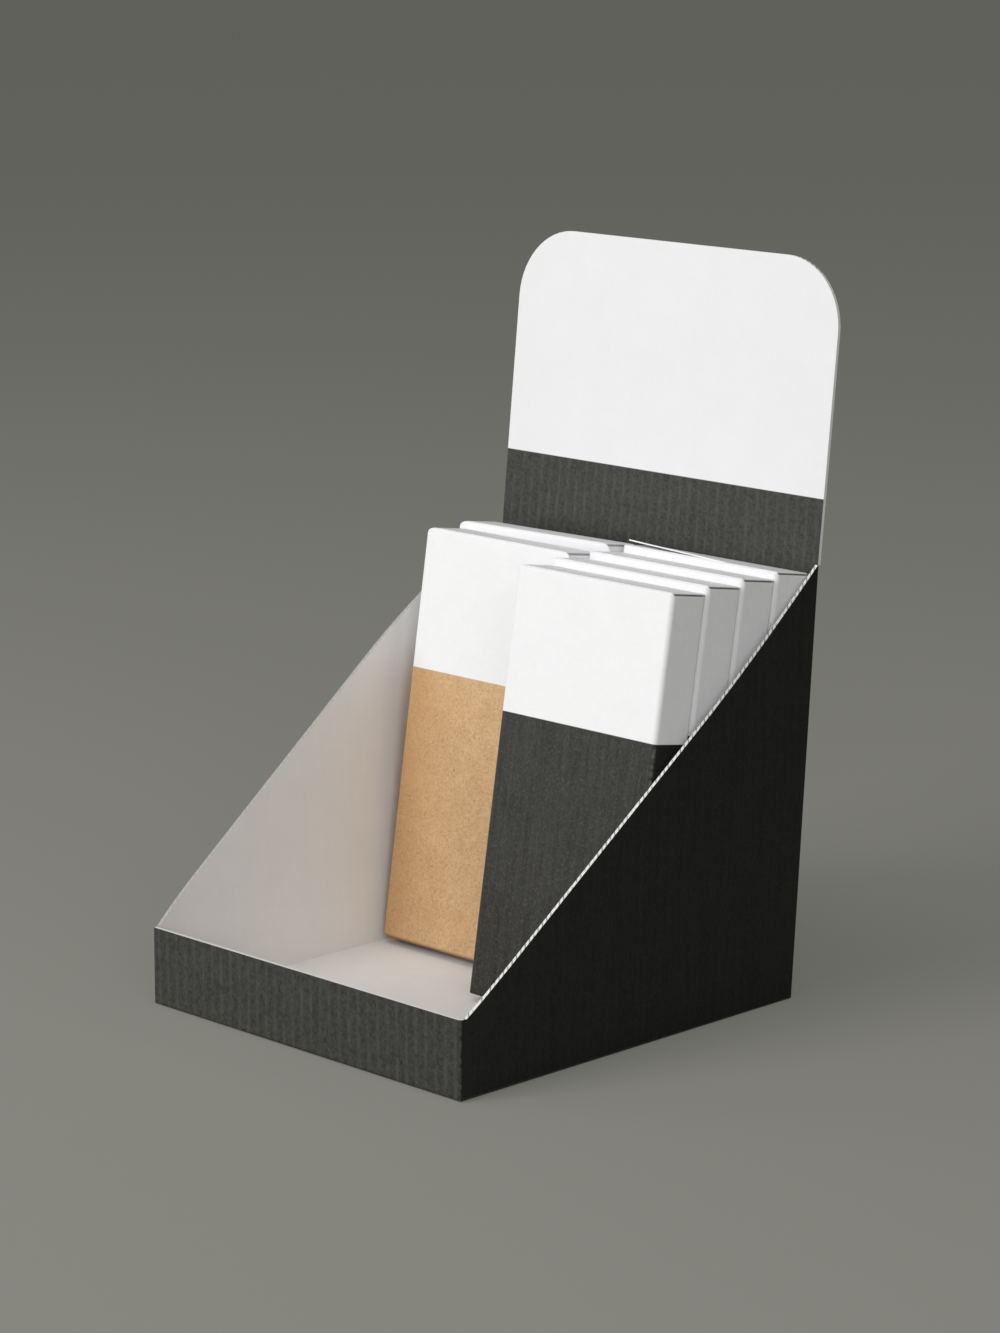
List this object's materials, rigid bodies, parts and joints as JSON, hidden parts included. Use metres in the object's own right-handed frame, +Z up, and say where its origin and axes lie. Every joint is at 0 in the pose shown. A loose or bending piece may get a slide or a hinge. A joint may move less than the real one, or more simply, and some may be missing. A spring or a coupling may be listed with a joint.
{
  "type": "product display box",
  "caption": "Counter display box of folded corrugated board with a low front lip, sloping side walls and a round-cornered header, stocked with slim leaning cartons.",
  "frame": {"origin": "middle of the base's footprint, on the surface that the box stands on", "axes": "+Z up, -Y is the side of the low front lip, +X to the right when facing the lip"},
  "size_m": [0.2143, 0.2412, 0.3375],
  "materials": {
    "tray_board": "matt charcoal print outside, plain white liner inside, white field on the header",
    "kraft_carton": "brown kraft card below, plain white field above",
    "dark_carton": "matt charcoal print below, plain white field above"
  },
  "bodies": {
    "root": {"display_tray": "tray_board", "left_front_pack": "kraft_carton", "left_rear_pack": "kraft_carton", "right_front_pack": "dark_carton", "right_second_pack": "dark_carton", "right_third_pack": "dark_carton", "right_rear_pack": "dark_carton"}
  },
  "joints": []
}
